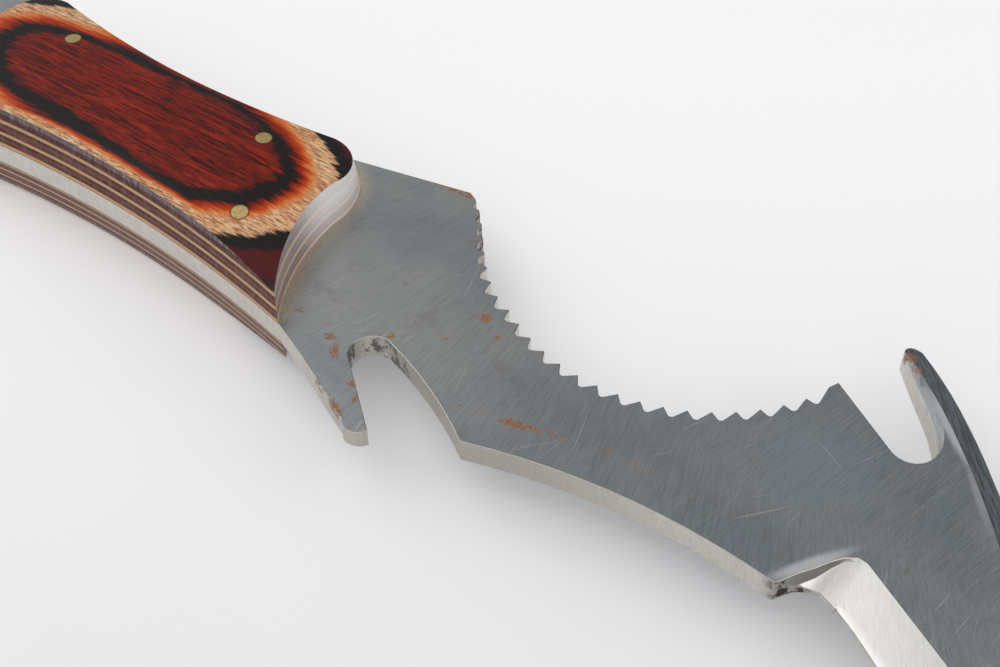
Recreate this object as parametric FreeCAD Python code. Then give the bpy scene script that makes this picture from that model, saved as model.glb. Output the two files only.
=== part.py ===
import FreeCAD, Part
import math
import os

# A full-tang fixed-blade knife: one steel plate, two laminated wood scales, four brass pins.
# Drawing frame: X runs from the pommel to the point, with 0 at the front corner of the scales.
# Y runs from the belly to the spine, and Z = 0 is the middle of the steel plate.
# The finished parts are moved so that the origin is the bottom centre of the whole knife.

V = FreeCAD.Vector
UP = V(0, 0, 1)

# ---------------------------------------------------------------- steel plate
STEEL = 4.8                 # plate thickness, 3/16 in stock
HALF = STEEL / 2
BELLY_HIGH = (-56.0, -15.0)  # highest point of the tang's hollow belly
BELLY_R = 253.0             # radius of that hollow
POMMEL_BELLY_X = -100.0
POMMEL_END = (-114.041, 0.5)   # rearmost point of the rounded pommel
PRONG_TIP = (24.9, -32.4)
NOTCH_CENTRE = (17.2, -18.0)  # round end of the front line notch
NOTCH_R = 3.9
KEEL = (39.6, -24.6)        # corner where the notch ends and the flat belly starts
HEEL = (92.0, -20.3)        # where the cutting edge starts
POINT = (156.0, -46.5)      # blade point
SAW_CORNER = (10.2, 21.8)   # front corner of the spine, where the saw starts
SAW_EASED = [(16.4, 15.2), (21.2, 9.3)]  # slack run of the saw's line before its round run
SAW_CENTRE = (50.3, 33.0)
SAW_R = 35.9
SAW_START = -122.0          # the round run, in degrees about its centre
SAW_END = -31.0
PEAK = (83.3, 18.9)         # tall last tooth
HOOK_CENTRE = (98.2, 14.3)  # round bottom of the back hook
HOOK_R = 4.0
LANYARD = (-103.0, 0.5)     # hole in the pommel
LANYARD_R = 3.2

# saw teeth
TOOTH_COUNT = 24
TOOTH_DEPTH = 1.9
FIRST_DEPTH = 0.9           # the first teeth are worn down
WORN_TEETH = 8
TOOTH_ROUND = 0.65          # radius at the bottom of a gullet
TOOTH_HALF_ANGLE = 40.0
TOOTH_REACH = 5.0           # how far a gullet cutter stands out of the plate
FIRST_GULLET = 2.0          # distance of the first gullet from the spine's corner
FIRST_PITCH = 3.42          # the teeth are a little coarser towards the point
PITCH_GROWTH = 0.021
FIRST_LEAN = -8.0           # the gullets lean from the saw's normal, degrees
LAST_LEAN = 17.0

# ground bevels: half of the thickness that is left at their outer border
BEVEL_LEFT = 0.45           # cutting bevel, before the edge itself is ground
EDGE_LEFT = 0.28            # cutting edge
EDGE_WIDTH = 1.4            # width of the steeper ground edge
EDGE_SHOULDER = 0.78        # half of the thickness where the ground edge starts
SWEDGE_LEFT = 0.35
HOOK_LEFT = 2.0             # shallow facet on the spike, beside the hook
PRONG_LEFT = 0.9            # relieved underside of the prong's tip
CLEAR = 3.0                 # how far a bevel cutter reaches past the plate
SHOULDER_CLEAR = 0.6        # how far it starts above its shoulder

# shoulder and outer border of the cutting bevel, from the plunge to the point
CUTTING_BEVEL = [
    ((101.9, -9.9), (100.9, -18.2)),
    ((106.0, -12.2), (103.4, -19.7)),
    ((118.3, -19.2), (115.0, -26.4)),
    ((134.0, -28.4), (130.0, -35.7)),
    ((148.0, -37.4), (145.4, -43.2)),
    ((160.0, -44.6), (159.2, -46.9)),
]

# ---------------------------------------------------------------- wood scales
SCALE_TOP = 9.4             # flat land on the crown, above the steel
CROWN_R = 89.6              # radius of the crown across the handle
CROWN_HIGH = 9.47           # height of the crown's ridge at the middle of the handle
CROWN_POINT = (-49.4, -0.45)  # a point of the ridge line in plan
CROWN_TILT = -3.0           # degrees, the ridge line drops towards the belly at the front
CROWN_SWEEP = 19.0          # half of the angle that the crown is turned through
CROWN_RIDGE = [(-98.2, 7.95), (-83.1, 8.97), (-67.4, 9.39), (-46.4, CROWN_HIGH),
               (-22.9, 9.36), (-13.6, 8.78), (-1.1, 7.55), (7.0, 6.7)]
CROWN_FLOOR = -20.0
EASED_Z = 8.0               # height of the belly arris above the steel
EASED_SLOPE = 3.05          # run over rise of the eased edge above that arris
LEAN_Z = 8.1                # height at which the leaning outline is stated
BELLY_LEAN = (-1.2, 1.75)   # how far the belly wall leans in at that height
SIDE_TOP = 10.0             # height to which the side walls are drawn

# heights of the glue lines above the steel, from the tang to the crown
GLUE_LINES = [0.0, 0.85, 2.4, 3.15, 4.95, 5.75, 7.9, 8.8, SCALE_TOP]
VENEERS = ["tan_veneer_1", "red_veneer_1", "tan_veneer_2", "red_veneer_2",
           "tan_veneer_3", "red_veneer_3", "tan_veneer_4", "red_veneer_4"]

# ---------------------------------------------------------------- brass pins
PIN_R = 1.6
PINS = {
    "pin_front_spine": (-24.6, 6.0),
    "pin_front_belly": (-16.1, -10.5),
    "pin_rear_spine": (-74.0, 8.0),
    "pin_rear_belly": (-82.2, -8.5),
}


def at(point, z=0.0):
    return V(point[0], point[1], z)


def line(start, end):
    return Part.makeLine(at(start), at(end))


def arc(start, middle, end):
    return Part.Arc(at(start), at(middle), at(end)).toShape()


def curve(points):
    spline = Part.BSplineCurve()
    spline.interpolate([at(p) for p in points])
    return spline.toShape()


def on_circle(centre, radius, degrees):
    turn = math.radians(degrees)
    return (centre[0] + radius * math.cos(turn), centre[1] + radius * math.sin(turn))


def belly(x):
    """Height of the tang's hollow belly edge at x."""
    run = x - BELLY_HIGH[0]
    return BELLY_HIGH[1] - BELLY_R + math.sqrt(BELLY_R ** 2 - run ** 2)


def prism(edges, low, high):
    """Closed outline raised from one height to another."""
    face = Part.Face(Part.Wire(edges))
    face.translate(V(0, 0, low))
    return face.extrude(V(0, 0, high - low))


# ---------------------------------------------------------------- blade
def back_edge():
    """Swept back of the blade, from the spike to the point."""
    return [(91.7, 33.6), (98.7, 28.6), (107.2, 20.3), (113.3, 13.4), (134.0, -14.5), POINT]


def cutting_edge():
    """Cutting edge, from the choil behind the heel to the point."""
    return [(97.8, -17.0), (101.0, -18.2), (109.6, -23.2), (124.0, -32.0), (140.0, -41.2), POINT]


def tang_edges():
    """Pommel and tang, from the spine corner back round to the prong's root."""
    spine_front = (-15.2, 17.8)
    spine_rear = (-84.0, 18.3)
    root = (0.0, belly(0.0))
    pommel_belly = (POMMEL_BELLY_X, belly(POMMEL_BELLY_X))
    return [
        line(SAW_CORNER, (8.6, 22.6)),
        line((8.6, 22.6), spine_front),
        arc(spine_front, (-48.0, 13.0), spine_rear),
        arc(spine_rear, (-94.0, 20.8), (-104.0, 19.6)),
        arc((-104.0, 19.6), POMMEL_END, pommel_belly),
        arc(pommel_belly, BELLY_HIGH, root),
    ]


def prong_edges():
    """Prong, line notch and flat belly, from the root to the heel."""
    root = (0.0, belly(0.0))
    notch_out = on_circle(NOTCH_CENTRE, NOTCH_R, 65.0)
    notch_in = on_circle(NOTCH_CENTRE, NOTCH_R, 215.0)
    return [
        curve([root, (14.3, -27.8), (21.4, -31.4)]),
        arc((21.4, -31.4), PRONG_TIP, (26.2, -30.8)),
        line((26.2, -30.8), notch_in),
        arc(notch_in, on_circle(NOTCH_CENTRE, NOTCH_R, 140.0), notch_out),
        curve([notch_out, (26.7, -17.4), KEEL]),
        arc(KEEL, (69.0, -19.3), HEEL),
    ]


def front_edges():
    """Choil, cutting edge, swept back, spike and back hook, from the heel to the tall tooth."""
    hook_in = on_circle(HOOK_CENTRE, HOOK_R, 5.0)
    hook_out = on_circle(HOOK_CENTRE, HOOK_R, 238.0)
    return [
        curve([HEEL, (94.6, -18.1), (97.8, -17.0)]),
        curve(cutting_edge()),
        curve(back_edge()[::-1]),
        arc((91.7, 33.6), (89.8, 33.1), (89.4, 30.8)),
        curve([(89.4, 30.8), (93.8, 25.5), (100.1, 18.2), hook_in]),
        arc(hook_in, on_circle(HOOK_CENTRE, HOOK_R, 300.0), hook_out),
        line(hook_out, PEAK),
    ]


def saw_edges():
    """Line of the tooth tips, from the spine's corner to the tall tooth: slack run, round run, last flank."""
    join = on_circle(SAW_CENTRE, SAW_R, SAW_START)
    middle = on_circle(SAW_CENTRE, SAW_R, (SAW_START + SAW_END) / 2)
    last = on_circle(SAW_CENTRE, SAW_R, SAW_END)
    return [
        curve([SAW_CORNER] + SAW_EASED + [join]),
        arc(join, middle, last),
        line(last, PEAK),
    ]


def saw_place(distance):
    """Point on the line of tips and the direction out of the plate, at a distance along it."""
    for run in saw_edges():
        if distance < run.Length:
            break
        distance -= run.Length
    here = run.getParameterByLength(distance)
    tip = run.valueAt(here)
    ahead = run.tangentAt(here)
    return (tip.x, tip.y), math.degrees(math.atan2(ahead.y, ahead.x)) + 90.0


def gullet(place, outward, depth):
    """V cutter with a round bottom, pointing into the plate."""
    flank = math.radians(TOOTH_HALF_ANGLE)
    touch_x = TOOTH_ROUND * math.cos(flank)
    touch_y = TOOTH_ROUND * (1 - math.sin(flank)) - depth
    top_x = touch_x + (TOOTH_REACH - touch_y) * math.tan(flank)
    cutter = prism([
        arc((-touch_x, touch_y), (0.0, -depth), (touch_x, touch_y)),
        line((touch_x, touch_y), (top_x, TOOTH_REACH)),
        line((top_x, TOOTH_REACH), (-top_x, TOOTH_REACH)),
        line((-top_x, TOOTH_REACH), (-touch_x, touch_y)),
    ], -STEEL, STEEL)
    cutter.rotate(V(0, 0, 0), UP, outward - 90.0)
    cutter.translate(at(place))
    return cutter


def gullets():
    """Row of gullets along the saw. Their pitch grows and their lean changes towards the point."""
    cutters = []
    distance = FIRST_GULLET
    for index in range(TOOTH_COUNT):
        share = index / (TOOTH_COUNT - 1)
        place, outward = saw_place(distance)
        lean = FIRST_LEAN + share * (LAST_LEAN - FIRST_LEAN)
        wear = max(0.0, 1.0 - index / WORN_TEETH)
        depth = TOOTH_DEPTH - wear * (TOOTH_DEPTH - FIRST_DEPTH)
        cutters.append(gullet(place, outward - lean, depth))
        distance += FIRST_PITCH + PITCH_GROWTH * index
    return cutters


def bevel_section(points):
    """Closed section of a bevel cutter. The points run from above the shoulder to past the outer border."""
    first = points[0]
    last = points[-1]
    roof = HALF + CLEAR
    return Part.makePolygon(points + [V(last.x, last.y, roof), V(first.x, first.y, roof), first])


def bevel_cutter(stations, left, shoulder=HALF, ruled=False):
    """Material above a ground bevel. A station is a shoulder point and an outer point in plan."""
    sections = []
    for inner_point, outer_point in stations:
        along = (at(outer_point, left) - at(inner_point, shoulder)).normalize()
        sections.append(bevel_section([
            at(inner_point, shoulder) - along * SHOULDER_CLEAR, at(outer_point, left) + along * CLEAR]))
    return Part.makeLoft(sections, True, ruled)


def plunge_sections():
    """The bevel's end at the heel. A steep wall drops from the shoulder to a foot, and the floor starts there."""
    stations = [
        ((92.3, -20.0), (92.8, -20.2), 0.95, (93.2, -20.6), 0.60),
        ((94.3, -16.8), (95.0, -17.3), 0.95, (95.4, -18.2), 0.55),
        ((95.8, -14.8), (96.4, -15.3), 1.10, (96.9, -17.4), 0.45),
        ((97.2, -12.6), (97.6, -13.0), 1.55, (97.8, -17.2), 0.45),
        ((98.6, -10.8), (98.8, -11.2), 1.95, (98.6, -17.3), 0.45),
        ((100.3, -9.6), (100.2, -10.3), 2.20, (99.5, -17.6), 0.45),
    ]
    sections = []
    for shoulder, foot, foot_z, outer, outer_z in stations:
        wall = (at(foot, foot_z) - at(shoulder, HALF)).normalize()
        floor = (at(outer, outer_z) - at(foot, foot_z)).normalize()
        sections.append(bevel_section([
            at(shoulder, HALF) - wall * SHOULDER_CLEAR, at(foot, foot_z), at(outer, outer_z) + floor * CLEAR]))
    return sections



def cutting_bevel():
    sections = plunge_sections()
    for shoulder, outer in CUTTING_BEVEL:
        fall = at(outer, BEVEL_LEFT) - at(shoulder, HALF)
        foot = at(shoulder, HALF) + fall * 0.1
        along = fall.normalize()
        sections.append(bevel_section([
            at(shoulder, HALF) - along * SHOULDER_CLEAR, foot, at(outer, BEVEL_LEFT) + along * CLEAR]))
    return Part.makeLoft(sections, True, True)


def ground_edge():
    """Narrow steeper bevel along the cutting edge."""
    stations = []
    for shoulder, outer in CUTTING_BEVEL:
        reach = math.hypot(shoulder[0] - outer[0], shoulder[1] - outer[1])
        share = min(EDGE_WIDTH / reach, 0.5)
        start = (outer[0] + share * (shoulder[0] - outer[0]), outer[1] + share * (shoulder[1] - outer[1]))
        stations.append((start, outer))
    return bevel_cutter(stations, EDGE_LEFT, EDGE_SHOULDER, ruled=True)


def swedge_bevel():
    """Ground back of the blade, over the spike's tip and down to the point."""
    return bevel_cutter([
        ((86.2, 31.8), (90.6, 36.4)),
        ((92.4, 28.7), (95.6, 31.4)),
        ((101.5, 20.9), (104.5, 23.2)),
        ((108.9, 13.0), (112.1, 15.0)),
        ((116.6, 3.6), (119.9, 5.5)),
        ((131.0, -17.8), (134.9, -15.8)),
        ((147.5, -39.4), (151.6, -38.0)),
        ((156.0, -53.0), (160.0, -52.4)),
    ], SWEDGE_LEFT)


def hook_facet():
    """Shallow facet along the hook side of the spike. It meets the ground back in a ridge."""
    return bevel_cutter([
        ((90.9, 31.6), (89.2, 30.1)),
        ((94.9, 26.6), (93.3, 25.1)),
        ((98.0, 22.9), (96.5, 21.6)),
        ((101.3, 18.9), (99.9, 17.8)),
        ((102.4, 15.3), (100.9, 15.0)),
        ((101.7, 12.6), (100.4, 13.0)),
    ], HOOK_LEFT)


def prong_relief():
    """Worn slope under the prong's tip."""
    upper = bevel_cutter([
        ((17.0, -30.0), (19.0, -34.6)),
        ((22.6, -28.6), (24.6, -33.2)),
        ((28.2, -27.2), (30.2, -31.8)),
    ], PRONG_LEFT)
    return mirrored(upper)


def mirrored(shape):
    return shape.mirror(V(0, 0, 0), UP)


def pin_hole(place, radius, low, high):
    return Part.makeCylinder(radius, high - low, at(place, low), UP)


def make_blade():
    outline = tang_edges() + prong_edges() + front_edges() + saw_edges()
    plate = prism(Part.__sortEdges__(outline), -HALF, HALF)
    cutters = gullets()
    for bevel in (cutting_bevel(), ground_edge(), swedge_bevel(), hook_facet()):
        cutters.append(bevel)
        cutters.append(mirrored(bevel))
    cutters.append(prong_relief())
    for place in PINS.values():
        cutters.append(pin_hole(place, PIN_R, -STEEL, STEEL))
    cutters.append(pin_hole(LANYARD, LANYARD_R, -STEEL, STEEL))
    for cutter in cutters:
        plate = plate.cut(cutter)
    return plate


# ---------------------------------------------------------------- scales
def scale_outline(height):
    """Outline of a scale at a height above the steel. Its walls lean in as they rise."""
    share = height / LEAN_Z

    def leaning(foot, arris):
        return (foot[0] + share * (arris[0] - foot[0]), foot[1] + share * (arris[1] - foot[1]))

    def belly_side(foot):
        return (foot[0] + share * BELLY_LEAN[0], foot[1] + share * BELLY_LEAN[1])

    nose = belly_side((0.0, belly(0.0)))
    nose_back = belly_side((-5.3, -9.8))
    front = leaning((-6.9, 3.0), (-7.6, 4.75))
    crest = leaning((-8.9, 12.7), (-9.6, 12.15))
    spine_front = leaning((-15.2, 17.8), (-15.4, 13.95))
    spine_mid = leaning((-48.0, 13.0), (-43.2, 11.65))
    spine_rear = leaning((-86.0, 18.5), (-84.7, 16.8))
    rear_corner = leaning((-91.1, 16.6), (-90.1, 14.8))
    rear_top = leaning((-92.9, 12.2), (-92.1, 10.4))
    rear_middle = leaning((-93.5, 0.0), (-92.7, 1.0))
    rear_low = leaning((-92.9, -12.7), (-92.2, -11.1))
    rear_round = leaning((-91.9, -16.3), (-91.2, -14.4))
    rear_belly = belly_side((-88.6, belly(-88.6)))
    return Part.Wire([
        arc(nose, nose_back, front),
        arc(front, crest, spine_front),
        arc(spine_front, spine_mid, spine_rear),
        arc(spine_rear, rear_corner, rear_top),
        arc(rear_top, rear_middle, rear_low),
        arc(rear_low, rear_round, rear_belly),
        arc(rear_belly, belly_side(BELLY_HIGH), nose),
    ])


def scale_sides():
    foot = scale_outline(0.0)
    head = scale_outline(SIDE_TOP)
    head.translate(V(0, 0, SIDE_TOP))
    return Part.makeLoft([foot, head], True, True)


def crown():
    """Barrel-shaped solid whose skin is the crowned face, flat on its highest land."""
    ridge = Part.BSplineCurve()
    ridge.interpolate([V(x, 0, z) for x, z in CROWN_RIDGE])
    rear_x, rear_z = CROWN_RIDGE[0]
    front_x, front_z = CROWN_RIDGE[-1]
    rear_low = V(rear_x, 0, CROWN_FLOOR)
    front_low = V(front_x, 0, CROWN_FLOOR)
    profile = Part.Face(Part.Wire([
        ridge.toShape(),
        Part.makeLine(V(front_x, 0, front_z), front_low),
        Part.makeLine(front_low, rear_low),
        Part.makeLine(rear_low, V(rear_x, 0, rear_z)),
    ]))
    axis_point = V(0, 0, CROWN_HIGH - CROWN_R)
    profile.rotate(axis_point, V(1, 0, 0), -CROWN_SWEEP)
    barrel = profile.revolve(axis_point, V(1, 0, 0), 2 * CROWN_SWEEP)
    barrel.rotate(V(CROWN_POINT[0], 0, 0), UP, CROWN_TILT)
    barrel.translate(V(0, CROWN_POINT[1], 0))
    land = Part.makeBox(200, 100, 60, V(-140, -50, SCALE_TOP - 60))
    return barrel.common(land)


def eased_belly_cutter():
    """Cone about the belly's centre, which eases the edge above the belly wall."""
    low = -1.0
    high = SIDE_TOP + 2.0
    centre = (BELLY_HIGH[0] + BELLY_LEAN[0], BELLY_HIGH[1] - BELLY_R + BELLY_LEAN[1])
    low_r = BELLY_R + EASED_SLOPE * (low - EASED_Z)
    high_r = BELLY_R + EASED_SLOPE * (high - EASED_Z)
    return Part.makeCone(low_r, high_r, high - low, at(centre, low), UP)


def make_scale():
    """Upper scale standing on Z = 0, with its pin holes."""
    body = scale_sides().common(crown()).cut(eased_belly_cutter())
    for place in PINS.values():
        body = body.cut(pin_hole(place, PIN_R, -1.0, SIDE_TOP + 1.0))
    return body


def slice_between(body, low, high):
    slab = Part.makeBox(200, 100, high - low, V(-140, -50, low))
    return body.common(slab)


def make_veneers():
    """Sixteen sheets, eight to a scale, numbered from the tang outwards."""
    scale = make_scale()
    sheets = {}
    for index, name in enumerate(VENEERS):
        sheet = slice_between(scale, GLUE_LINES[index], GLUE_LINES[index + 1])
        sheet.translate(V(0, 0, HALF))
        sheets["upper_" + name] = sheet
        sheets["lower_" + name] = mirrored(sheet)
    return sheets


def make_pin(place):
    """Rivet stock that is sanded flush with both crowned faces."""
    half = pin_hole(place, PIN_R, -HALF, SIDE_TOP + 1.0).common(crown())
    half = half.fuse(pin_hole(place, PIN_R, -HALF, 1.0))
    half.translate(V(0, 0, HALF))
    return half.fuse(mirrored(half)).removeSplitter()


# ---------------------------------------------------------------- the whole knife
def make_parts():
    parts = {"blade": make_blade()}
    parts.update(make_veneers())
    for name, place in PINS.items():
        parts[name] = make_pin(place)
    return parts


def bottom_centre(parts):
    """Middle of the whole knife's box in plan, on the plane that it lies on."""
    box = FreeCAD.BoundBox()
    for shape in parts.values():
        box.add(shape.optimalBoundingBox(False))
    return V(box.Center.x, box.Center.y, box.ZMin)


def main():
    parts = make_parts()
    origin = bottom_centre(parts)
    os.makedirs("parts", exist_ok=True)
    for name, shape in parts.items():
        shape.translate(-origin)
        print(name, shape.isValid(), len(shape.Solids), round(shape.Volume, 1))
        shape.exportStep("parts/" + name + ".step")
    print("origin in the drawing", round(origin.x, 3), round(origin.y, 3), round(origin.z, 3))


main()
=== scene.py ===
"""Looks of the rigging knife: worn steel plate, dyed laminated-wood scales and brass pins."""
import math
from types import SimpleNamespace

import bmesh
import bpy
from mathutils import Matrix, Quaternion, Vector


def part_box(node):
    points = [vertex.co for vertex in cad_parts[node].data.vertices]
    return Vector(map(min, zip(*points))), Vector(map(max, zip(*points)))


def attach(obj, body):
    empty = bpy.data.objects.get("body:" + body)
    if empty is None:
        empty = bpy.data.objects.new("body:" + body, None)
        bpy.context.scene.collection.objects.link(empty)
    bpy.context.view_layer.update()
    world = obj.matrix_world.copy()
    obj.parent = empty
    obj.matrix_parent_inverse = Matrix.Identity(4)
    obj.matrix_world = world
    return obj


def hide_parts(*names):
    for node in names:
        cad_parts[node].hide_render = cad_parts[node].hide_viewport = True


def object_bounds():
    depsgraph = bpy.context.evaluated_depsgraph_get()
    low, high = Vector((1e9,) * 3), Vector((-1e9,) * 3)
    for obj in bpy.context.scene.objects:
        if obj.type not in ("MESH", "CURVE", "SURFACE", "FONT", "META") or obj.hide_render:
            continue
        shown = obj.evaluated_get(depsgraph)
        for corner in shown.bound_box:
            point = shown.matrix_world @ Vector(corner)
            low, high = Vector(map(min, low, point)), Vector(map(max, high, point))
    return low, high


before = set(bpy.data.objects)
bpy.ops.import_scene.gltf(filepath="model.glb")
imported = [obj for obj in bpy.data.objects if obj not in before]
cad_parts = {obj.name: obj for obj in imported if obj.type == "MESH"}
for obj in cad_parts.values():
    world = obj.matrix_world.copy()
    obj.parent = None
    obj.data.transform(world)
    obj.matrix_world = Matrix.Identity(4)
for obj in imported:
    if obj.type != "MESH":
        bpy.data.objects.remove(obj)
CAD_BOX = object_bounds()

# ---------------------------------------------------------------- places and sizes, in millimetres
MM = 0.001
STEEL_LOW, STEEL_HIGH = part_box("blade")
STEEL_MIDDLE = (STEEL_LOW.z + STEEL_HIGH.z) / 2 / MM
STEEL_HALF = (STEEL_HIGH.z - STEEL_LOW.z) / 2 / MM
PIN_NODES = ["pin_front_spine", "pin_front_belly", "pin_rear_spine", "pin_rear_belly"]
SCALE_LAYERS = ["tan_veneer_1", "red_veneer_1", "tan_veneer_2", "red_veneer_2",
                "tan_veneer_3", "red_veneer_3", "tan_veneer_4", "red_veneer_4"]


def middle_of(node):
    """The middle of a node's box, in millimetres."""
    low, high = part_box(node)
    return (low + high) / 2 / MM


# The front spine pin. Marks on the steel and the wood are placed from it.
PIN = middle_of("pin_front_spine")


# ---------------------------------------------------------------- colours

def linear(value):
    """One 0-255 display channel as linear light."""
    share = value / 255
    if share <= 0.04045:
        return share / 12.92
    return ((share + 0.055) / 1.055) ** 2.4


def colour(red, green, blue):
    """A display colour as the linear RGBA that nodes take."""
    return (linear(red), linear(green), linear(blue), 1.0)


# ---------------------------------------------------------------- node material kit

class Paint:
    """A node material in the making. Each call adds a node and returns its output."""

    def __init__(self, name):
        self.material = bpy.data.materials.new(name)
        self.material.use_nodes = True
        self.tree = self.material.node_tree
        self.tree.nodes.clear()
        texture = self.node("ShaderNodeTexCoord")
        self.place = self.vector("SCALE", texture.outputs["Object"], scale=1 / MM)
        split = self.node("ShaderNodeSeparateXYZ", {0: self.place})
        self.x, self.y, self.z = split.outputs
        facing = self.node("ShaderNodeSeparateXYZ", {0: texture.outputs["Normal"]})
        self.normal_x, self.normal_y, self.normal_z = facing.outputs

    def node(self, kind, inputs=None, **settings):
        made = self.tree.nodes.new(kind)
        for key, value in settings.items():
            setattr(made, key, value)
        for key, value in (inputs or {}).items():
            self.feed(made.inputs[key], value)
        return made

    def feed(self, socket, value):
        if isinstance(value, bpy.types.NodeSocket):
            self.tree.links.new(value, socket)
        else:
            socket.default_value = value

    def math(self, operation, first, second=0.0):
        return self.node("ShaderNodeMath", {0: first, 1: second}, operation=operation).outputs[0]

    def vector(self, operation, first, second=(0, 0, 0), scale=1.0):
        made = self.node("ShaderNodeVectorMath", {0: first, 1: second, 3: scale}, operation=operation)
        return made.outputs["Value" if operation in ("LENGTH", "DOT_PRODUCT") else "Vector"]

    def point(self, x, y, z=0.0):
        return self.node("ShaderNodeCombineXYZ", {0: x, 1: y, 2: z}).outputs[0]

    def folded(self, operation, values):
        result = values[0]
        for value in values[1:]:
            result = self.math(operation, result, value)
        return result

    def total(self, *values):
        return self.folded("ADD", values)

    def product(self, *values):
        return self.folded("MULTIPLY", values)

    def largest(self, *values):
        return self.folded("MAXIMUM", values)

    def minus(self, first, second):
        return self.math("SUBTRACT", first, second)

    def invert(self, value):
        return self.minus(1.0, value)

    def step(self, value, low, high):
        """0 below low, 1 above high, smooth between. With low above high it falls instead."""
        made = self.node("ShaderNodeMapRange", {0: value, 1: low, 2: high, 3: 0.0, 4: 1.0},
                         interpolation_type="SMOOTHSTEP")
        return made.outputs[0]

    def span(self, value, low, high):
        """Maps 0..1 to low..high."""
        return self.node("ShaderNodeMapRange", {0: value, 1: 0.0, 2: 1.0, 3: low, 4: high}).outputs[0]

    def noise(self, place, detail=3.0, roughness=0.55):
        inputs = {"Vector": place, "Scale": 1.0, "Detail": detail, "Roughness": roughness}
        return self.node("ShaderNodeTexNoise", inputs).outputs[0]

    def stretched(self, x_rate, y_rate, z_rate, shift=0.0, **settings):
        """Noise with its own rate along each axis, per millimetre. The shift picks another stretch of it."""
        rates = self.vector("MULTIPLY", self.place, (x_rate, y_rate, z_rate))
        moved = self.vector("ADD", rates, (shift, shift * 1.7, shift * 0.6))
        return self.noise(moved, **settings)

    def mix(self, factor, first, second, blend="MIX"):
        inputs = {0: factor, 6: first, 7: second}
        return self.node("ShaderNodeMix", inputs, data_type="RGBA", blend_type=blend).outputs[2]

    def ramp(self, factor, stops):
        made = self.node("ShaderNodeValToRGB", {0: factor})
        elements = made.color_ramp.elements
        while len(elements) < len(stops):
            elements.new(0.5)
        for element, (position, tint) in zip(elements, stops):
            element.position = position
            element.color = tint
        return made.outputs[0]

    def bump(self, height, depth, normal=None):
        """A bump whose full height is depth millimetres."""
        inputs = {"Height": height, "Distance": depth * MM, "Strength": 1.0}
        if normal is not None:
            inputs["Normal"] = normal
        return self.node("ShaderNodeBump", inputs).outputs[0]

    def upright(self):
        """1 on a face that looks straight up or down, and 0 on a wall."""
        return self.math("ABSOLUTE", self.normal_z)

    def finish(self, **inputs):
        """Closes the material. Each keyword is an input of the surface, with _ for a space."""
        named = {key.replace("_", " "): value for key, value in inputs.items()}
        surface = self.node("ShaderNodeBsdfPrincipled", named)
        output = self.node("ShaderNodeOutputMaterial", {0: surface.outputs[0]})
        output.is_active_output = True
        return self.material


def distance_from(paint, x, y):
    """Distance in plan from a point, in millimetres."""
    return paint.vector("LENGTH", paint.point(paint.minus(paint.x, x), paint.minus(paint.y, y)))


def near_spot(paint, spot):
    """1 where a spot's marks are full, falling to 0 where they end."""
    x, y, end, full = spot
    return paint.step(distance_from(paint, PIN.x + x, PIN.y + y), end, full)


def pin_distance(paint):
    """Distance in plan from the nearest pin's axis, in millimetres."""
    centres = [middle_of(node) for node in PIN_NODES]
    return paint.folded("MINIMUM", [distance_from(paint, centre.x, centre.y) for centre in centres])


# ---------------------------------------------------------------- dyed laminated wood

# Height above the steel that the laminate's colours are stated up to.
SCALE_HEIGHT = 9.6
# Heights between which the pale veneer shows its own grain, on the crowned face.
TAN_GRAIN_START = (7.83, 7.98)
TAN_GRAIN_END = (8.30, 8.48)
# Height at which the red field starts. It starts higher towards the belly, by so much per millimetre from
# a line that lies this far from the front spine pin.
FIELD_START = (8.97, 9.08)
FIELD_RISE = 0.0075
FIELD_RISE_FROM_PIN = 6.0
# Heights between which the painted grey sheen below the arris sets in, over the dark veneer.
GREY_SHEEN_HEIGHTS = (6.7, 7.1)
# The painted white sheen on the front wall gains strength between these y and up to this height.
WALL_SHEEN_Y_FROM_PIN = (-15.6, -3.6)
WALL_SHEEN_HEIGHT = 5.0
# Distances from a pin's axis between which the glue ring fades out.
GLUE_RING = (1.9, 1.65)


def laminate_stops():
    """Colour against height above the steel: dyed veneers whose dye has bled into the pale ones."""
    black = colour(24, 20, 20)
    soot = colour(42, 33, 31)
    deep_red = colour(74, 20, 20)
    ember = colour(128, 30, 6)
    red_orange = colour(176, 62, 16)
    orange = colour(204, 120, 62)
    tan = colour(206, 162, 118)
    tan_line = colour(198, 156, 118)
    brown = colour(66, 46, 42)
    core = colour(112, 54, 44)
    heights = [
        (0.0, brown), (0.15, tan_line), (0.58, tan_line), (0.82, brown),
        (1.05, soot), (1.5, core), (2.1, soot),
        (2.37, brown), (2.55, tan_line), (2.94, tan_line), (3.18, brown),
        (3.4, soot), (4.0, core), (4.66, soot),
        (4.94, brown), (5.13, tan_line), (5.52, tan_line), (5.76, brown),
        (6.0, soot), (6.5, deep_red), (7.3, deep_red), (7.5, black), (7.83, black),
        (7.92, tan), (8.25, tan), (8.43, orange), (8.55, red_orange), (8.66, ember), (8.75, black),
    ]
    return [(height / SCALE_HEIGHT, tone) for height, tone in heights]


def dye_height(paint, height, face):
    """Height above the steel, pushed up and down where the dye front wanders along the grain."""
    wander = paint.stretched(0.06, 0.16, 0.1, shift=3.1, detail=2.0)
    fingers = paint.stretched(0.13, 1.3, 0.3, shift=7.7, detail=3.0, roughness=0.6)
    bristle = paint.stretched(0.4, 4.5, 0.6, shift=1.3, detail=2.0)
    jag = paint.total(
        paint.product(paint.minus(wander, 0.5), 0.36),
        paint.product(paint.minus(fingers, 0.5), 0.42),
        paint.product(paint.minus(bristle, 0.5), 0.24),
    )
    return paint.total(height, paint.product(jag, paint.span(face, 0.3, 1.0)))


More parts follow.
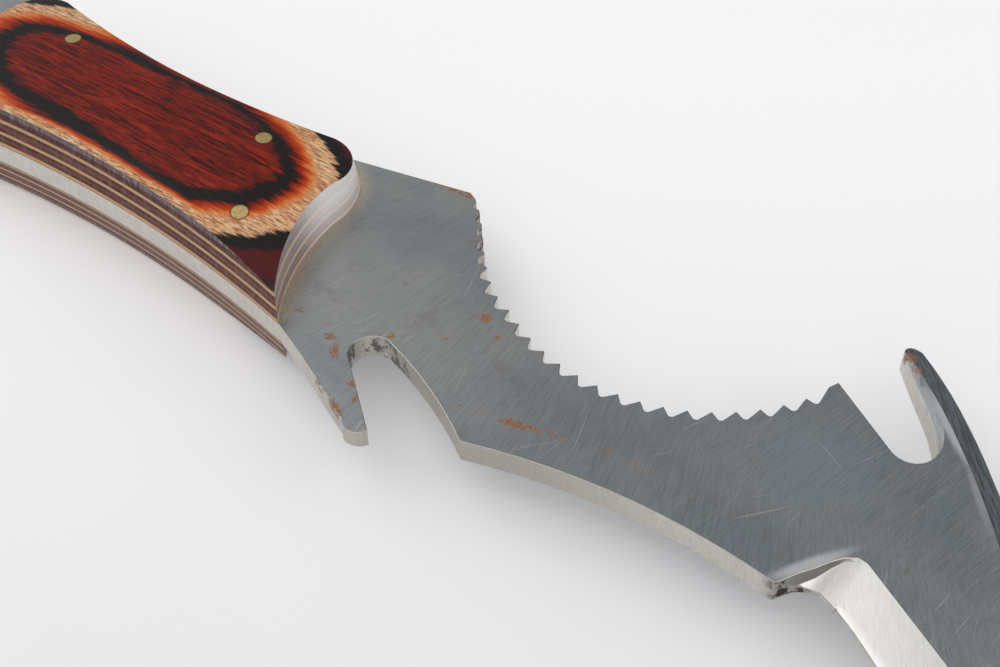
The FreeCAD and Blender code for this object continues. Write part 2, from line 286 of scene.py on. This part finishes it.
def grain_lines(paint):
    """Dark streaks and pores along the grain."""
    streaks = paint.step(
        paint.stretched(0.16, 3.0, 0.8, shift=11.0, detail=4.0, roughness=0.65), 0.50, 0.60)
    pores = paint.step(paint.stretched(0.36, 7.5, 1.2, shift=5.0, detail=2.0), 0.54, 0.62)
    return paint.largest(paint.product(streaks, 0.9), paint.product(pores, 0.8))


def with_field(paint, base, dyed, dark_lines):
    """The red field in the middle of the crowned face. Its black border is wider on the belly side."""
    towards_belly = paint.minus(PIN.y - FIELD_RISE_FROM_PIN, paint.y)
    border = paint.minus(dyed, paint.product(towards_belly, FIELD_RISE))
    on_field = paint.step(border, *FIELD_START)
    veins = paint.step(paint.stretched(0.07, 1.1, 0.5, shift=21.0, detail=4.0, roughness=0.65), 0.42, 0.66)
    glow = paint.step(paint.stretched(0.10, 1.5, 0.3, shift=2.2, detail=4.0), 0.48, 0.7)
    field = paint.mix(on_field, base, colour(126, 28, 14))
    shaded = paint.mix(paint.product(veins, on_field, 0.75), field, colour(60, 14, 10))
    streaked = paint.mix(paint.product(dark_lines, on_field), shaded, colour(24, 10, 10))
    glowing = paint.product(glow, on_field, paint.invert(dark_lines), 0.55)
    return paint.mix(glowing, streaked, colour(170, 48, 20))


def with_tan_grain(paint, base, dyed, face, pale):
    """Brown flecks and streaks in the pale veneer of the crowned face."""
    on_tan = paint.product(
        face, paint.step(dyed, *TAN_GRAIN_START), paint.invert(paint.step(dyed, *TAN_GRAIN_END)))
    flecks = paint.step(paint.stretched(0.42, 3.2, 1.0, shift=9.0, detail=5.0, roughness=0.7), 0.46, 0.60)
    runs = paint.step(paint.stretched(0.16, 1.2, 0.6, shift=31.0, detail=4.0, roughness=0.6), 0.46, 0.62)
    stained = paint.mix(paint.product(runs, on_tan, 0.6), base, colour(176, 104, 60))
    flecked = paint.mix(paint.product(flecks, on_tan, 0.8), stained, colour(116, 58, 36))
    bleached = paint.product(pale, on_tan, paint.invert(flecks), 0.6)
    return paint.mix(bleached, flecked, colour(232, 204, 170))


def with_walls(paint, base, height, face):
    """The walls: cross ticks and threads, a painted grey sheen below the arris, and a painted white sheen on
    the walls facing the front.
    """
    wall = paint.invert(face)
    ticks = paint.step(paint.stretched(1.3, 1.3, 0.2, shift=6.0, detail=3.0, roughness=0.7), 0.38, 0.68)
    ticked = paint.mix(paint.product(ticks, wall, 0.3), base, colour(136, 108, 98))
    threads = paint.step(paint.stretched(0.10, 0.10, 6.0, shift=14.0, detail=2.0), 0.48, 0.66)
    threaded = paint.mix(paint.product(threads, wall, 0.35), ticked, colour(150, 104, 86))
    # Painted grey sheen over the dark veneer below the arris, with lighter ticks in it.
    band = paint.product(wall, paint.step(height, *GREY_SHEEN_HEIGHTS))
    banded = paint.mix(paint.product(band, 0.6), threaded, colour(96, 92, 98))
    banded = paint.mix(paint.product(band, ticks, 0.5), banded, colour(150, 146, 150))
    # Painted white sheen on the walls that face the front, stronger higher up the wall.
    above_nose = paint.step(paint.y, PIN.y + WALL_SHEEN_Y_FROM_PIN[0], PIN.y + WALL_SHEEN_Y_FROM_PIN[1])
    up_the_wall = paint.step(height, 0.0, WALL_SHEEN_HEIGHT)
    painted_wall_sheen = paint.product(
        wall, paint.step(paint.normal_x, 0.35, 0.85),
        paint.span(above_nose, 0.22, 0.74), paint.span(up_the_wall, 0.66, 1.08))
    return paint.mix(painted_wall_sheen, banded, colour(255, 250, 247))


def make_wood():
    paint = Paint("dyed_laminate")
    height = paint.minus(paint.math("ABSOLUTE", paint.minus(paint.z, STEEL_MIDDLE)), STEEL_HALF)
    face = paint.step(paint.upright(), 0.75, 0.97)
    dyed = dye_height(paint, height, face)
    dark_lines = grain_lines(paint)
    pale = paint.step(paint.stretched(0.5, 2.6, 0.8, shift=4.0, detail=4.0), 0.46, 0.6)

    tone = paint.ramp(paint.math("DIVIDE", dyed, SCALE_HEIGHT), laminate_stops())
    tone = with_field(paint, tone, dyed, dark_lines)
    tone = with_tan_grain(paint, tone, dyed, face, pale)
    tone = with_walls(paint, tone, height, face)
    glue = paint.product(paint.step(pin_distance(paint), *GLUE_RING), face, 0.55)
    tone = paint.mix(glue, tone, colour(46, 30, 24))

    gloss = paint.span(paint.stretched(0.5, 3.0, 1.0, shift=8.0, detail=4.0), 0.25, 0.45)
    relief = paint.minus(paint.product(pale, 0.2), paint.product(dark_lines, 0.6))
    return paint.finish(
        Base_Color=tone, Roughness=gloss, Normal=paint.bump(relief, 0.02), Specular_IOR_Level=0.12)


# ---------------------------------------------------------------- worn steel

# Rust on the upper face. Each patch has the x and y of its middle from the front spine pin, its half length
# and half width, its turn in degrees and its strength.
RUST_PATCHES = [
    (52.9, -7.0, 1.3, 1.2, 0, 1.0), (57.0, -9.4, 0.9, 0.7, 0, 0.9), (58.0, -11.1, 0.6, 0.5, 0, 0.7),
    (49.8, -14.4, 0.8, 0.6, 0, 0.7), (42.1, -18.8, 0.8, 0.6, 0, 0.9),
    (25.8, -22.9, 1.0, 0.8, 0, 0.7), (32.3, -20.2, 0.9, 0.6, 0, 0.5),
    (33.7, -24.7, 1.7, 0.8, 20, 0.8), (36.3, -26.7, 1.8, 1.0, -50, 0.9),
    (31.4, -22.4, 1.4, 0.7, 60, 0.6), (43.1, -30.8, 0.9, 0.6, 0, 1.0), (45.2, -32.9, 1.2, 0.6, -60, 0.8),
    (62.6, -24.2, 4.5, 0.3, 15, 0.5), (70.1, -22.7, 4.0, 0.9, 15, 0.95),
    (75.6, -21.4, 3.0, 0.5, 12, 0.7), (83.3, -19.9, 4.0, 0.35, 6, 0.5),
    (90.2, -19.4, 4.0, 0.4, 2, 0.6), (97.3, -19.6, 3.0, 0.35, -3, 0.5),
    (114.4, -20.1, 4.0, 0.3, -5, 0.3), (47.4, 0.7, 0.8, 0.6, 0, 1.0), (49.9, -1.1, 0.8, 0.6, 0, 0.9),
    (20.5, 14.6, 7.0, 0.35, 5, 0.75), (30.0, 15.4, 4.0, 0.6, 5, 0.9), (33.5, 16.0, 1.4, 1.0, 0, 1.0),
    (38.7, -34.0, 2.4, 0.6, -33, 0.8), (43.5, -36.0, 2.6, 0.8, -20, 0.9),
    (115.1, 24.4, 1.4, 1.2, 0, 0.9), (117.1, 22.6, 1.6, 0.9, -40, 0.8),
    (119.2, 21.0, 1.4, 0.5, -45, 0.5), (139.3, -3.4, 2.5, 1.5, -50, 0.35),
]
RUST_RAGGED = 2.2
# Bands of painted sheen on the upper face, stated in the same way: beside the plunge and beside the spike's
# ridge.
PAINTED_SHEEN_BANDS = [
    (119.5, -20.6, 6.5, 1.0, 55, 1.0), (126.2, 14.4, 8.5, 1.1, -43, 1.0), (134.6, 5.0, 6.5, 0.7, -53, 0.4),
]
SHEEN_BAND_RAGGED = 0.3
# Sparse hairlines: direction in degrees, rate across, rate along, shift of the noise and threshold.
HAIRLINES = [
    (62, 3.5, 0.05, 1.0, 0.74), (80, 4.0, 0.06, 2.0, 0.73), (104, 3.0, 0.05, 3.0, 0.73),
    (-28, 3.0, 0.05, 4.0, 0.76), (48, 2.6, 0.06, 5.0, 0.75),
]
# Denser crossing scratches towards the blade, stated in the same way, and where they set in.
CROSSING_SCRATCHES = [(74, 9.0, 0.09, 9.0, 0.60), (106, 9.0, 0.09, 19.0, 0.62)]
CROSSING_X = (20.0, 62.0)
# Slopes nearer the belly than this belong to the cutting bevel, and the others to the spike.
FACET_SPLIT_Y = 8.0
# Round spots with their own marks: x and y from the front spine pin, and the distances from there at which
# the marks end and at which they are full. They are the round end of the line notch, the first gullets of
# the saw, the keel, the heel of the cutting edge with its painted shade, and a painted bluish sheen on the
# middle of the face.
NOTCH_END = (41.8, -22.1, 7.5, 4.5)
FIRST_GULLETS = (38.5, 12.4, 14.0, 8.0)
KEEL = (64.2, -30.6, 42.0, 6.0)
HEEL_SHADE = (118.8, -25.1, 5.0, 1.5)
SHEEN = (111.0, -5.0, 17.0, 1.0)
# The face is warmer towards the handle and cooler towards the point, between these x.
WARM_X = (35.0, -25.0)
COOL_X = (12.0, 60.0)
# The brushing fans out from this far point. Behind the hook the face was brushed again, straight across.
FAN_POINT = (17.0, 108.0)
HOOK_BRUSH_X = (25.0, 60.0)
HOOK_BRUSH_Y = (-7.0, 7.0)
HOOK_BRUSH_ANGLE = 74
# How far from a corner, in millimetres, its dust can lie.
DUST_REACH = 4.0


def patch_mask(paint, patches, raggedness):
    """A patch's strength at its middle, falling to 0 over a margin that is ragged by so many millimetres."""
    waves = paint.node("ShaderNodeTexNoise", {"Vector": paint.place, "Scale": 0.9, "Detail": 3.0})
    ragged = paint.vector("SUBTRACT", waves.outputs[1], (0.5, 0.5, 0.5))
    pushed = paint.vector("MULTIPLY", ragged, (raggedness, raggedness, 0.0))
    warped = paint.vector("ADD", paint.point(paint.x, paint.y), pushed)
    shares = []
    for x, y, half_length, half_width, turn, strength in patches:
        inside = paint.node("ShaderNodeMapping", {
            "Vector": warped,
            "Location": (PIN.x + x, PIN.y + y, 0.0),
            "Rotation": (0.0, 0.0, math.radians(turn)),
            "Scale": (half_length, half_width, 1.0),
        }, vector_type="TEXTURE").outputs[0]
        shares.append(paint.product(paint.step(paint.vector("LENGTH", inside), 1.5, 0.4), strength))
    return paint.largest(*shares)


def straight_lines(paint, angle, rate, length_rate, shift, **settings):
    """Noise drawn out in one direction, given in degrees from +X."""
    turn = math.radians(angle)
    along = paint.vector("DOT_PRODUCT", paint.place, (math.cos(turn), math.sin(turn), 0))
    across = paint.vector("DOT_PRODUCT", paint.place, (-math.sin(turn), math.cos(turn), 0))
    place = paint.point(paint.product(along, length_rate), paint.product(across, rate), shift)
    return paint.noise(place, **settings)


def scratches(paint, angle, rate, length_rate, shift, low):
    """Sparse hairlines in one direction, where the noise is above low."""
    return paint.step(straight_lines(paint, angle, rate, length_rate, shift, detail=1.0), low, low + 0.05)


def steel_zones(paint):
    """Masks for the kinds of face on the plate, from where each one faces and lies."""
    upright = paint.upright()
    flat = paint.step(upright, 0.985, 0.995)
    wall = paint.step(upright, 0.6, 0.25)
    sloped = paint.product(paint.invert(flat), paint.invert(wall))
    to_belly = paint.step(paint.normal_y, 0.05, -0.05)
    cutting_side = paint.product(to_belly, paint.step(paint.y, FACET_SPLIT_Y, FACET_SPLIT_Y - 1.0))
    return SimpleNamespace(
        flat=flat,
        wall=wall,
        bevel=paint.product(sloped, cutting_side),
        facet=paint.product(sloped, to_belly, paint.invert(cutting_side)),
        swedge=paint.product(sloped, paint.invert(to_belly)),
        upper=paint.step(paint.z, STEEL_MIDDLE, STEEL_MIDDLE + 1.0),
    )


def fan_brushing(paint):
    """Coarse and fine brush lines along the rays of a fan."""
    from_x = paint.minus(paint.x, FAN_POINT[0])
    from_y = paint.minus(FAN_POINT[1], paint.y)
    fan = paint.product(paint.math("ARCTAN2", from_x, from_y), FAN_POINT[1])
    along = paint.vector("LENGTH", paint.point(from_x, from_y))

    def lines(across_rate, along_rate, shift, detail):
        place = paint.point(paint.product(fan, across_rate), paint.product(along, along_rate), shift)
        return paint.step(paint.noise(place, detail=detail, roughness=0.75), 0.25, 0.75)

    return lines(2.2, 0.08, 1.0, 6.0), lines(7.0, 0.30, 4.0, 4.0)


def brushed_face_and_sheen(paint, coarse, fine):
    """The flat faces: brush lines over a cloudy tone, warm by the handle, with a painted bluish sheen in the
    middle.
    """
    cloudy = paint.stretched(0.05, 0.06, 0.1, shift=2.0, detail=3.0)
    by_hook = paint.product(paint.step(paint.x, *HOOK_BRUSH_X), paint.step(paint.y, *HOOK_BRUSH_Y))
    crossed = straight_lines(paint, HOOK_BRUSH_ANGLE, 3.4, 0.10, 61.0, detail=6.0, roughness=0.75)
    crossed = paint.step(crossed, 0.28, 0.72)
    coarse = paint.mix(paint.product(by_hook, 0.8), coarse, crossed)
    fine = paint.mix(paint.product(by_hook, 0.6), fine, crossed)
    tone = paint.mix(coarse, colour(119, 122, 123), colour(150, 152, 153))
    tone = paint.mix(paint.product(fine, 0.5), tone, colour(176, 178, 179))
    tone = paint.mix(paint.product(paint.step(paint.x, *WARM_X), 0.22), tone, colour(190, 190, 186))
    tone = paint.mix(paint.step(cloudy, 0.35, 0.7), tone, colour(232, 237, 242), blend="MULTIPLY")
    tone = paint.mix(paint.step(paint.x, *COOL_X), tone, colour(243, 247, 249), blend="MULTIPLY")
    # Painted bluish sheen in the middle of the face, broken up by the cloudy tone.
    sheen = paint.product(near_spot(paint, SHEEN), paint.step(cloudy, 0.25, 0.55))
    return paint.mix(paint.product(sheen, 0.4), tone, colour(146, 160, 171))


def worn_face_and_sheen(paint, tone, upper):
    """Hairlines, specks, smudges and crossing scratches over the flat faces, and bands of painted sheen."""
    hairlines = paint.largest(*[scratches(paint, *line) for line in HAIRLINES])
    tone = paint.mix(paint.product(hairlines, 0.4), tone, colour(226, 226, 226))
    specks = paint.step(paint.stretched(3.0, 3.0, 3.0, shift=41.0, detail=1.0), 0.80, 0.84)
    tone = paint.mix(paint.product(specks, 0.6), tone, colour(236, 236, 236))
    smudges = paint.stretched(0.16, 0.2, 0.2, shift=51.0, detail=5.0, roughness=0.65)
    tone = paint.mix(paint.product(paint.step(smudges, 0.55, 0.75), 0.35), tone, colour(118, 112, 104))
    crossing = paint.largest(*[scratches(paint, *line) for line in CROSSING_SCRATCHES])
    crossing = paint.product(crossing, paint.step(paint.x, *CROSSING_X), 0.17)
    tone = paint.mix(crossing, tone, colour(200, 202, 204))
    # Bands of painted sheen beside the plunge and beside the spike's ridge.
    bands = paint.product(patch_mask(paint, PAINTED_SHEEN_BANDS, SHEEN_BAND_RAGGED), upper)
    return paint.mix(paint.product(bands, 0.7), tone, colour(226, 227, 228))


def bevel_look(paint, fine):
    """The bright cutting bevel, with painted dark reflection on the plunge where it is steepest."""
    tone = paint.mix(fine, colour(212, 210, 206), colour(232, 230, 226))
    # Painted dark reflection where the plunge is steepest.
    plunge = paint.step(paint.upright(), 0.93, 0.84)
    return paint.mix(paint.product(plunge, 0.8), tone, colour(112, 106, 98))


def swedge_look(paint, coarse):
    """The ground back, its tone painted dark for the dark surroundings it reflects, with grinding marks
    across it.
    """
    # The dark tone here is painted dark reflection. The grinding marks are the steel's own.
    tone = paint.mix(coarse, colour(50, 58, 64), colour(122, 130, 136))
    marks = scratches(paint, 128, 3.2, 0.22, 7.0, 0.50)
    return paint.mix(paint.product(marks, 0.55), tone, colour(54, 60, 66))


def wall_look(paint, smooth, pits):
    """The plate's sawn and filed walls, with pits and upright marks."""
    tone = paint.mix(smooth, colour(196, 192, 184), colour(222, 219, 212))
    tone = paint.mix(paint.product(pits, 0.6), tone, colour(120, 110, 98))
    upright_marks = paint.stretched(2.6, 2.6, 0.22, shift=25.0, detail=4.0, roughness=0.7)
    upright_marks = paint.step(upright_marks, 0.44, 0.68)
    return paint.mix(paint.product(upright_marks, 0.2), tone, colour(146, 140, 130))


def rust_mask(paint, upper):
    """Rust in crumbs over the patches of the upper face."""
    crumbs = paint.span(paint.stretched(1.7, 1.7, 1.7, shift=8.0, detail=5.0, roughness=0.75), -1.5, 1.5)
    level = paint.total(patch_mask(paint, RUST_PATCHES, RUST_RAGGED), crumbs)
    return paint.product(paint.step(level, 0.42, 0.95), upper)


def dust_mask(paint, flat):
    """Sanding dust in the corner where the scales meet the plate."""
    occlusion = paint.node("ShaderNodeAmbientOcclusion", {"Distance": DUST_REACH * MM}, samples=8)
    openness = occlusion.outputs["AO"]
    powder = paint.stretched(2.6, 2.6, 2.6, shift=12.0, detail=4.0, roughness=0.8)
    powder = paint.span(paint.step(powder, 0.40, 0.62), 0.3, 1.0)
    return paint.product(paint.step(openness, 0.98, 0.62), powder, flat)


def grime_and_shade_on_walls(paint, tone, wall, smooth, blotches, in_notch):
    """Black smudges in the notch, brown grime in the first gullets, darker grey on the walls facing the
    belly from keel to heel, and painted shade at the heel.
    """
    tone = paint.mix(paint.product(in_notch, 0.9), tone, colour(40, 38, 36))
    in_gullets = paint.product(near_spot(paint, FIRST_GULLETS), wall)
    tone = paint.mix(paint.product(in_gullets, paint.span(blotches, 0.45, 1.0)), tone, colour(74, 54, 42))
    facing_belly = paint.step(paint.normal_y, 0.0, -0.3)
    by_keel = paint.product(near_spot(paint, KEEL), wall, facing_belly)
    tone = paint.mix(paint.product(by_keel, paint.span(smooth, 0.3, 0.75)), tone, colour(146, 140, 130))
    # Painted shade, in blotches, on the wall at the heel of the cutting edge.
    painted_heel_shade = paint.product(near_spot(paint, HEEL_SHADE), wall)
    return paint.mix(paint.product(painted_heel_shade, paint.span(blotches, 0.4, 1.0)), tone, colour(58, 50, 44))


def make_steel():
    paint = Paint("worn_steel")
    zones = steel_zones(paint)
    coarse, fine = fan_brushing(paint)
    smooth = paint.stretched(0.5, 0.5, 0.9, shift=5.0, detail=4.0, roughness=0.6)
    pits = paint.step(paint.stretched(2.2, 2.2, 2.2, shift=15.0, detail=2.0), 0.66, 0.72)

    tone = worn_face_and_sheen(paint, brushed_face_and_sheen(paint, coarse, fine), zones.upper)
    tone = paint.mix(zones.bevel, tone, bevel_look(paint, fine))
    tone = paint.mix(zones.swedge, tone, swedge_look(paint, coarse))
    tone = paint.mix(zones.facet, tone, paint.mix(fine, colour(150, 153, 156), colour(196, 198, 200)))
    tone = paint.mix(zones.wall, tone, wall_look(paint, smooth, pits))

    rust = rust_mask(paint, zones.upper)
    rust_grain = paint.stretched(2.2, 2.2, 2.2, shift=3.0)
    rust_tone = paint.mix(rust_grain, colour(78, 50, 24), colour(158, 98, 38))
    tone = paint.mix(paint.product(rust, 0.9), tone, rust_tone)
    dust = dust_mask(paint, zones.flat)
    tone = paint.mix(paint.product(dust, 0.9), tone, colour(196, 182, 158))
    grime = paint.step(paint.stretched(0.5, 0.5, 0.35, detail=5.0, roughness=0.7), 0.47, 0.56)
    blotches = paint.product(grime, zones.wall)
    in_notch = paint.product(near_spot(paint, NOTCH_END), blotches)
    tone = grime_and_shade_on_walls(paint, tone, zones.wall, smooth, blotches, in_notch)

    metal = paint.product(
        paint.span(rust, 1.0, 0.0), paint.span(dust, 1.0, 0.4), paint.span(in_notch, 1.0, 0.4))
    rough = paint.total(
        paint.product(zones.flat, paint.span(coarse, 0.36, 0.30)),
        paint.product(zones.bevel, 0.30),
        paint.product(zones.swedge, 0.38),
        paint.product(zones.facet, 0.34),
        paint.product(zones.wall, paint.span(smooth, 0.5, 0.36)),
        paint.product(rust, 0.35),
    )
    brush_relief = paint.total(paint.product(coarse, 0.5), paint.product(fine, 0.5))
    brushed = paint.bump(brush_relief, 0.006)
    pitted = paint.bump(paint.product(paint.invert(pits), zones.wall), 0.03, brushed)
    return paint.finish(Base_Color=tone, Metallic=metal, Roughness=rough, Normal=pitted)


# ---------------------------------------------------------------- brass pins

# Distances from a pin's axis between which its rim darkens.
PIN_RIM = (1.35, 1.58)


def make_brass():
    paint = Paint("dull_brass")
    rim = paint.step(pin_distance(paint), *PIN_RIM)
    file_marks = paint.stretched(4.0, 0.8, 0.5, shift=2.0, detail=4.0, roughness=0.7)
    smut = paint.step(paint.stretched(1.2, 1.6, 0.5, shift=6.0, detail=4.0), 0.45, 0.7)
    tone = paint.mix(file_marks, colour(160, 136, 84), colour(202, 178, 122))
    smutted = paint.mix(paint.product(smut, 0.5), tone, colour(120, 104, 62))
    rimmed = paint.mix(paint.product(rim, 0.85), smutted, colour(52, 42, 26))
    rough = paint.span(file_marks, 0.34, 0.52)
    bumped = paint.bump(file_marks, 0.01)
    return paint.finish(Base_Color=rimmed, Metallic=0.85, Roughness=rough, Normal=bumped)


# ---------------------------------------------------------------- steel plate and carried-over nodes

# Width of a rounded arris and the turn, in degrees, from which an edge is one.
ARRIS_WIDTH = 0.13
ARRIS_TURN = 28.0
# A ridge between ground faces turns more than this, and its faces look up or down at least so much.
RIDGE_TURN = 7.0
GROUND_UPRIGHT = 0.7
# No arris is rounded this near the blade's point.
POINT_CLEAR = 1.5
# Vertices nearer than this are one, and faces that turn less than this, in degrees, become one flat face.
WELD_DISTANCE = 0.001
FLAT_TURN = 0.3


def dress(node, material):
    """Gives a CAD node its material in every slot."""
    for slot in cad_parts[node].material_slots:
        slot.material = material


def turn_between(edge):
    """Angle in degrees between the two faces of an edge."""
    return math.degrees(edge.calc_face_angle(0.0))


def is_ground_ridge(edge):
    """True for a shallow ridge between two ground faces, which has to stay crisp."""
    ground = all(abs(face.normal.z) > GROUND_UPRIGHT for face in edge.link_faces)
    return ground and RIDGE_TURN < turn_between(edge) < ARRIS_TURN


def is_arris(edge, point):
    """True for a sharp edge that gets rounded. The blade's point stays sharp."""
    clear = all((vert.co - point).length > POINT_CLEAR * MM for vert in edge.verts)
    return clear and turn_between(edge) > ARRIS_TURN


def plate_mesh():
    """The CAD plate's mesh with flat faces in one piece, crisp ridges, and a weight on each arris."""
    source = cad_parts["blade"]
    shape = bmesh.new()
    shape.from_mesh(source.data)
    shape.transform(source.matrix_world)
    bmesh.ops.remove_doubles(shape, verts=shape.verts, dist=WELD_DISTANCE * MM)
    bmesh.ops.dissolve_limit(
        shape, angle_limit=math.radians(FLAT_TURN), verts=shape.verts, edges=shape.edges)
    point = max((vert.co for vert in shape.verts), key=lambda place: place.x).copy()
    rounding = shape.edges.layers.float.new("bevel_weight_edge")
    for edge in shape.edges:
        edge.smooth = not is_ground_ridge(edge)
        edge[rounding] = 1.0 if is_arris(edge, point) else 0.0
    for face in shape.faces:
        face.smooth = True
    mesh = bpy.data.meshes.new("steel_plate")
    shape.to_mesh(mesh)
    shape.free()
    return mesh


def make_plate(steel):
    """The steel plate, with rounded arrises. It stands in for the CAD plate."""
    mesh = plate_mesh()
    mesh.materials.append(steel)
    plate = bpy.data.objects.new("steel_plate", mesh)
    bpy.context.scene.collection.objects.link(plate)
    bevel = plate.modifiers.new("bevel", "BEVEL")
    bevel.width = ARRIS_WIDTH * MM
    bevel.segments = 2
    bevel.limit_method = "WEIGHT"
    bevel.use_clamp_overlap = False
    weighted = plate.modifiers.new("weighted", "WEIGHTED_NORMAL")
    weighted.keep_sharp = True
    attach(plate, "root")
    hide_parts("blade")


def dress_all():
    wood = make_wood()
    steel = make_steel()
    brass = make_brass()
    for side in ("upper", "lower"):
        for layer in SCALE_LAYERS:
            dress(f"{side}_{layer}", wood)
    for node in PIN_NODES:
        dress(node, brass)
    make_plate(steel)


# ---------------------------------------------------------------- floor, light and camera

# Half of the floor's side, in metres, and the light that the floor gives itself, which lifts the shadows.
FLOOR_HALF = 2.0
FLOOR_GLOW = 0.17
# The floor is painted paler away from the camera, a painted gradient of light: the direction in plan, and
# where the change starts and ends.
AWAY = (-0.574, 0.819, 0.0)
FLOOR_FADE = (-90.0, 90.0)
WORLD_LIGHT = (0.54, 0.54, 0.542, 1.0)
# Square panels of light: direction from the camera's aim, distance and side in metres, and brightness.
PANELS = {
    "left_panel": ((-0.62, -0.08, 0.76), 1.0, 0.95, 1.0),
    "front_panel": ((0.32, -0.52, 0.80), 1.2, 1.3, 0.86),
    "back_panel": ((0.70, 0.40, 0.72), 1.1, 0.9, 0.85),
}
# The camera aims at the top of the steel, this far in plan from the middle of the knife's box, in
# millimetres.
AIM_SHIFT = (11.21, 3.86)
# Angles are in degrees, the distance and the near limit in metres, and the lens and sensor in millimetres.
CAMERA_AZIMUTH = 35.0
CAMERA_ELEVATION = 48.5
CAMERA_ROLL = -1.0
CAMERA_DISTANCE = 0.2484
CAMERA_LENS = 54.0
CAMERA_SENSOR = 36.0
CAMERA_NEAR = 0.01


def make_floor():
    mesh = bpy.data.meshes.new("floor")
    side = FLOOR_HALF
    corners = [(-side, -side, 0), (side, -side, 0), (side, side, 0), (-side, side, 0)]
    mesh.from_pydata(corners, [], [(0, 1, 2, 3)])
    floor = bpy.data.objects.new("floor", mesh)
    bpy.context.scene.collection.objects.link(floor)
    paint = Paint("floor_paper")
    grain = paint.stretched(0.02, 0.02, 0.02, detail=3.0)
    front = paint.mix(grain, colour(208, 208, 210), colour(211, 211, 213))
    # Painted light: the floor grows paler away from the camera.
    far = paint.step(paint.vector("DOT_PRODUCT", paint.place, AWAY), *FLOOR_FADE)
    tone = paint.mix(far, front, colour(228, 227, 228))
    mesh.materials.append(paint.finish(
        Base_Color=tone, Roughness=0.8, Specular_IOR_Level=0.2,
        Emission_Color=(1.0, 1.0, 1.0, 1.0), Emission_Strength=FLOOR_GLOW))


def add_panel(name, aim, direction, distance, size, brightness):
    """A square panel of light that faces the object. Its brightness is that of its surface."""
    light = bpy.data.lights.new(name, "AREA")
    light.shape = "SQUARE"
    light.size = size
    light.energy = brightness * math.pi * size ** 2
    holder = bpy.data.objects.new(name, light)
    holder.location = aim + Vector(direction).normalized() * distance
    holder.rotation_euler = (aim - holder.location).to_track_quat("-Z", "Y").to_euler()
    bpy.context.scene.collection.objects.link(holder)


def make_light(aim):
    for name, settings in PANELS.items():
        add_panel(name, aim, *settings)
    world = bpy.data.worlds.new("studio")
    world.use_nodes = True
    world.node_tree.nodes["Background"].inputs["Color"].default_value = WORLD_LIGHT
    bpy.context.scene.world = world


def make_camera(aim):
    azimuth = math.radians(CAMERA_AZIMUTH)
    elevation = math.radians(CAMERA_ELEVATION)
    outward = Vector((math.sin(azimuth) * math.cos(elevation),
                      -math.cos(azimuth) * math.cos(elevation),
                      math.sin(elevation)))
    data = bpy.data.cameras.new("camera")
    data.lens = CAMERA_LENS
    data.sensor_width = CAMERA_SENSOR
    data.clip_start = CAMERA_NEAR
    camera = bpy.data.objects.new("camera", data)
    camera.location = aim + outward * CAMERA_DISTANCE
    look = (-outward).to_track_quat("-Z", "Y")
    camera.rotation_mode = "QUATERNION"
    camera.rotation_quaternion = look @ Quaternion((0, 0, 1), math.radians(CAMERA_ROLL))
    bpy.context.scene.collection.objects.link(camera)
    bpy.context.scene.camera = camera


def make_studio():
    low, high = CAD_BOX
    centre = (Vector(low) + Vector(high)) / 2
    aim = Vector((centre.x + AIM_SHIFT[0] * MM, centre.y + AIM_SHIFT[1] * MM, STEEL_HIGH.z))
    make_floor()
    make_light(aim)
    make_camera(aim)
    bpy.context.scene.view_settings.view_transform = "Standard"


dress_all()
make_studio()
